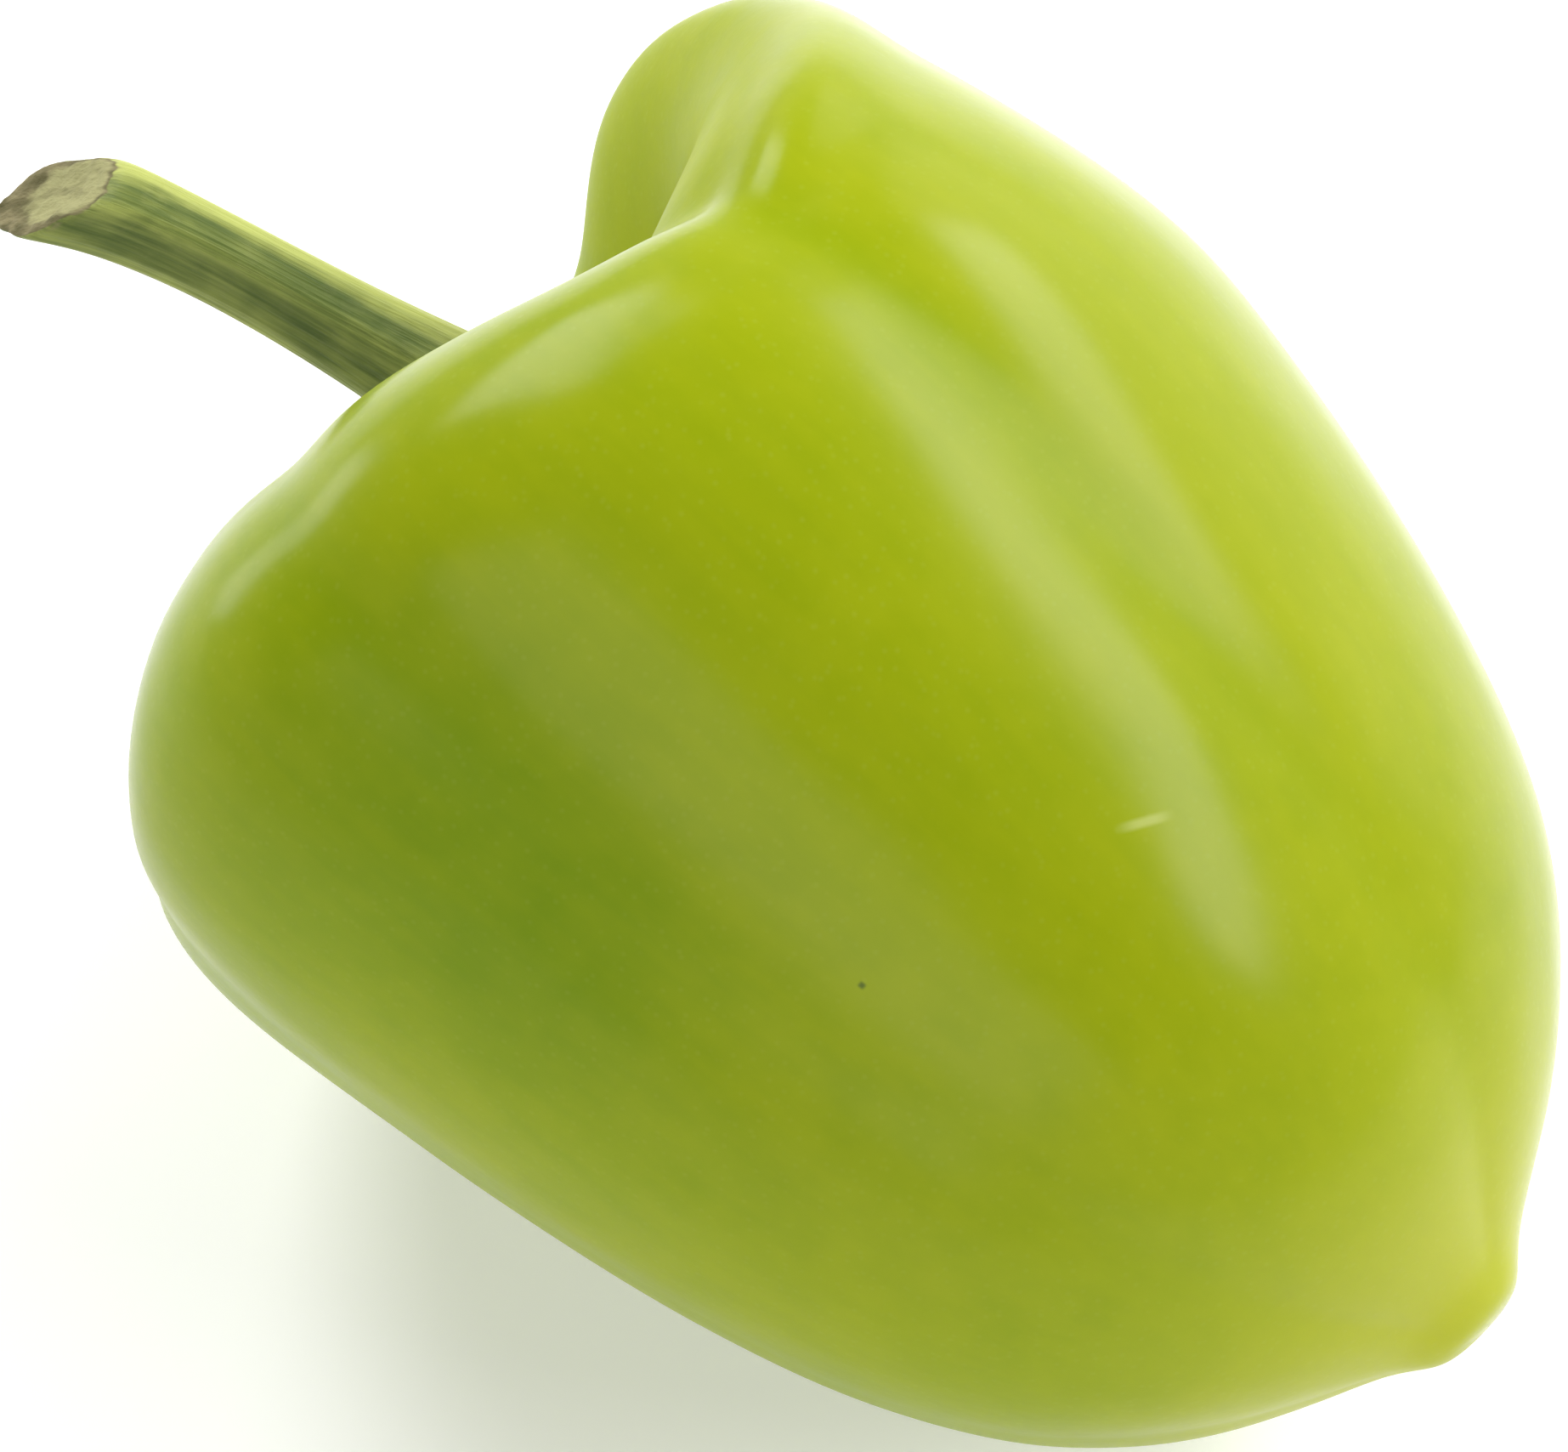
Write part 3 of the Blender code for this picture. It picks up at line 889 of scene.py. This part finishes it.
def dress_stem(stem):
    """The calyx and the stem with their fibres, and the rough, shrunken cut end."""
    shape, angle, share = sphere_grid(stem.segments, stem.rings)
    places = share * (len(STEM_MERIDIAN) - 1)
    meridian, _ = spline(np.array(STEM_MERIDIAN) * MM, places)
    radius, height = meridian.T
    upright = calyx_and_stem_skin(angle, share)
    points = turned(upright) + RESTING_SHIFT
    normals = point_normals(shape, points)

    on_cut = eased((places - CUT_START) / (CUT_END - CUT_START))
    on_stem = eased((height - FIBRE_START) / FIBRE_FADE) * (1 - on_cut)
    around = np.column_stack([np.cos(angle), np.sin(angle), height / ROUND_TO_LENGTH])
    middle = 1 - radius / CUT_RADIUS
    shrunk = CUT_HOLLOW * eased(middle / CUT_HOLLOW_SHARE)
    relief = stem.fibre * layered_noise(around, FIBRES) * on_stem
    relief += on_cut * (CUT_ROUGHNESS * layered_noise(upright, CUT_CELLS) - shrunk)
    points += normals * (relief - STEM_INSET)[:, None]

    # Painted light and shade: lighter on the side towards the key softbox, darker in a band beside it.
    tone = ring_blend(angle, STEM_LIGHT_AND_SHADE, STEM_LIGHT_AND_SHADE_FOCUS)
    pith_middle = middle + PITH_SHIFT * np.cos(angle - CUT_ANGLE) * (1 - middle)
    values = {
        "upright": np.column_stack([radius * np.cos(angle), radius * np.sin(angle), height]),
        "tone": (1 - TOOTH_TONE) * tone + TOOTH_TONE * np.cos(TOOTH_COUNT * angle),
        "calyx": CALYX_GREENNESS * eased((CALYX_HEIGHT - height) / CALYX_FADE),
        "dry": RIM_DRYNESS * eased((height - DRY_HEIGHT) / DRY_LENGTH) + on_cut,
        "pith": on_cut * eased(pith_middle / PITH_EDGE),
    }
    piece = mesh_piece("calyx_and_ribbed_stem", shape, points, stem_material(stem), values)
    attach(piece, "root")
    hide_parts("calyx_and_stem")


# ---------------------------------------------------------------------------------------------------------
# Stage: floor, light and camera
# ---------------------------------------------------------------------------------------------------------

AIM = Vector((2.3, -2.4, 42.3)) * MM
VIEW_AZIMUTH = math.radians(42.7)
VIEW_ELEVATION = math.radians(62.0)
VIEW_DISTANCE = 0.8
LENS = 267.0  # focal length in mm

# Softboxes: direction as an angle round the fruit and an angle towards its blossom tip, in degrees, then
# distance, length and width in metres, turn about the line of sight in degrees, and share of the key power.
Softbox = namedtuple("Softbox", "around tipwards distance length width turn share")
SOFTBOXES = {
    "key_softbox": Softbox(62, 13, 0.70, 1.15, 0.18, 36, 1.12),
    "back_softbox": Softbox(96, 0, 1.10, 1.30, 0.60, 0, 0.55),
    "front_softbox": Softbox(-29, 8, 0.80, 0.95, 0.48, 15, 0.54),
    "end_softbox": Softbox(51, -61, 0.70, 0.30, 0.40, 0, 0.66),
    "low_end_softbox": Softbox(-100, -74, 0.70, 0.22, 0.20, 0, 0.15),
}
HORIZON_GLOW, ZENITH_GLOW = 1.0, 0.15  # brightness of the surroundings at the horizon and overhead
GLOW_HEIGHT = 0.7  # how high up the horizon's glow reaches, as the sine of its angle
FLOOR_SIZE = 6.0
FLOOR_GLOW = 0.18
SENSOR = 36.0  # width in mm


def plain_floor(stage):
    """A pale floor that glows a little, so that it stays even and light."""
    bpy.ops.mesh.primitive_plane_add(size=FLOOR_SIZE)
    floor = bpy.context.object
    floor.name = "floor"
    made, _, shader = new_material("plain_floor", Roughness=0.7, Emission_Strength=FLOOR_GLOW)
    shader.inputs["Base Color"].default_value = opaque(stage.floor)
    floor.data.materials.append(made)


def softbox(name, box, power):
    """An area light that faces the fruit, its long side along the fruit's axis before it is turned."""
    around, tipwards = math.radians(box.around), math.radians(box.tipwards)
    upright = np.array(
        [math.cos(around) * math.cos(tipwards), math.sin(around) * math.cos(tipwards), -math.sin(tipwards)]
    )
    direction = Vector(turned(upright[None])[0])
    axis = Vector(turned(np.array([[0.0, 0.0, -1.0]]))[0])
    side = axis.cross(direction).normalized()
    basis = Matrix((direction.cross(side) * -1.0, side * -1.0, direction)).transposed()
    light = bpy.data.lights.new(name, "AREA")
    light.shape = "RECTANGLE"
    light.size, light.size_y = box.length, box.width
    light.energy = power * box.share
    lamp = bpy.data.objects.new(name, light)
    bpy.context.scene.collection.objects.link(lamp)
    turn = Matrix.Rotation(math.radians(box.turn), 4, "Z")
    lamp.matrix_world = Matrix.Translation(AIM + direction * box.distance) @ basis.to_4x4() @ turn


def camera():
    """The camera that the stage is seen from."""
    level = math.cos(VIEW_ELEVATION)
    back = Vector((math.sin(VIEW_AZIMUTH) * level, -math.cos(VIEW_AZIMUTH) * level, math.sin(VIEW_ELEVATION)))
    seer = bpy.data.objects.new("camera", bpy.data.cameras.new("camera"))
    seer.data.sensor_width = SENSOR
    seer.data.lens = LENS
    seer.data.clip_start = 0.01
    seer.location = AIM + back * VIEW_DISTANCE
    seer.rotation_euler = back.to_track_quat("Z", "Y").to_euler()
    bpy.context.scene.collection.objects.link(seer)
    bpy.context.scene.camera = seer


def even_light(stage):
    """Soft surroundings that are brightest at the horizon."""
    world = bpy.data.worlds.new("even_light")
    world.use_nodes = True
    background = world.node_tree.nodes["Background"]
    background.inputs["Strength"].default_value = stage.ambient
    sky = Tree(world.node_tree)
    direction = sky.add("ShaderNodeSeparateXYZ", Vector=sky.add("ShaderNodeTexCoord").outputs["Generated"])
    glow = sky.span(direction.outputs["Z"], 0.0, GLOW_HEIGHT, HORIZON_GLOW, ZENITH_GLOW)
    black, white = opaque((0.0, 0.0, 0.0)), opaque((1.0, 1.0, 1.0))
    sky.feed(background.inputs["Color"], sky.mix(glow, black, white))
    bpy.context.scene.world = world


def set_stage(stage):
    """Floor, surroundings, softboxes and camera."""
    plain_floor(stage)
    even_light(stage)
    for name, box in SOFTBOXES.items():
        softbox(name, box, stage.key)
    camera()
    bpy.context.scene.view_settings.view_transform = "Standard"


# ---------------------------------------------------------------------------------------------------------
# Operators, panel and registration
# ---------------------------------------------------------------------------------------------------------


class PEPPER_OT_fruit(bpy.types.Operator):
    """Make the fruit with its waxy skin"""

    bl_idname = "pepper.fruit"
    bl_label = "Fruit"

    def execute(self, context):
        dress_fruit(context.scene.pepper_skin)
        return {"FINISHED"}


class PEPPER_OT_stem(bpy.types.Operator):
    """Make the calyx and the ribbed stem with its dry cut end"""

    bl_idname = "pepper.stem"
    bl_label = "Calyx and Stem"

    def execute(self, context):
        dress_stem(context.scene.pepper_stem)
        return {"FINISHED"}


class PEPPER_OT_stage(bpy.types.Operator):
    """Set the floor, the lights and the camera"""

    bl_idname = "pepper.stage"
    bl_label = "Stage"

    def execute(self, context):
        set_stage(context.scene.pepper_stage)
        return {"FINISHED"}


class PEPPER_PT_panel(bpy.types.Panel):
    """The pepper's pieces and their settings"""

    bl_idname = "PEPPER_PT_panel"
    bl_label = "Bell Pepper"
    bl_space_type = "VIEW_3D"
    bl_region_type = "UI"
    bl_category = "Bell Pepper"

    def draw(self, context):
        for operator, settings in (
            (PEPPER_OT_fruit, context.scene.pepper_skin),
            (PEPPER_OT_stem, context.scene.pepper_stem),
            (PEPPER_OT_stage, context.scene.pepper_stage),
        ):
            box = self.layout.box()
            box.operator(operator.bl_idname)
            for name in settings.__annotations__:
                box.prop(settings, name)


SETTINGS = {"pepper_skin": SkinSettings, "pepper_stem": StemSettings, "pepper_stage": StageSettings}
CLASSES = (*SETTINGS.values(), PEPPER_OT_fruit, PEPPER_OT_stem, PEPPER_OT_stage, PEPPER_PT_panel)


def register():
    for cls in CLASSES:
        bpy.utils.register_class(cls)
    for name, settings in SETTINGS.items():
        setattr(bpy.types.Scene, name, PointerProperty(type=settings))


def unregister():
    for name in SETTINGS:
        delattr(bpy.types.Scene, name)
    for cls in reversed(CLASSES):
        bpy.utils.unregister_class(cls)


def main():
    register()
    bpy.ops.pepper.fruit()
    bpy.ops.pepper.stem()
    bpy.ops.pepper.stage()


if __name__ == "__main__":
    main()
